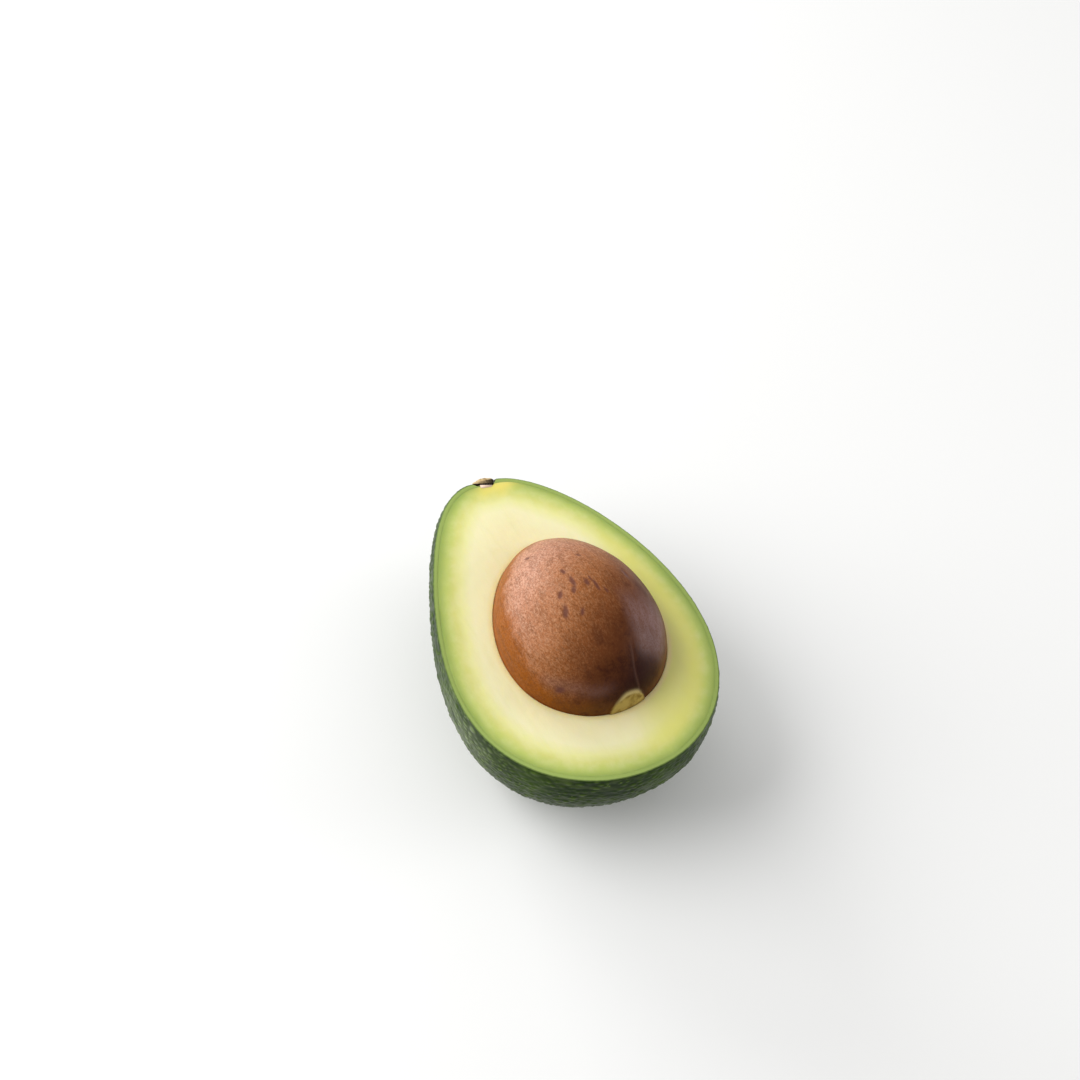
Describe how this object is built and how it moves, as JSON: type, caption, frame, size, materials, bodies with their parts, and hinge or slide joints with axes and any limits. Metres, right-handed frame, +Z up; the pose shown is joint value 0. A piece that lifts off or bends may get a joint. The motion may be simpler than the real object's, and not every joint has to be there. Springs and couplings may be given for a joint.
{
  "type": "avocado half",
  "caption": "Avocado cut lengthwise, lying on its skin with the cut face up: pebbled skin, flesh, the whole seed in its hollow and the woody stem remnant",
  "frame": {"origin": "The middle of the bounding box's base, on the surface that the half lies on", "axes": "+X runs along the fruit from the stem end to the blossom end, +Y across it, +Z up, at a right angle to the cut face"},
  "size_m": [0.106, 0.0772, 0.0581],
  "materials": {
    "skin": "dark green pebbled peel with a waxy gloss and small yellow-green specks",
    "flesh": "moist, slightly translucent cut flesh, cream at the seed and green at the rim",
    "seed": "smooth brown seed coat with fine mottling, a soft sheen and a pale scar at the blunt end",
    "stem_button": "dry, fibrous tan stem remnant with a pale core"
  },
  "bodies": {
    "root": {"skin": "skin", "flesh": "flesh", "seed": "seed", "stem_button": "stem_button"}
  },
  "joints": []
}
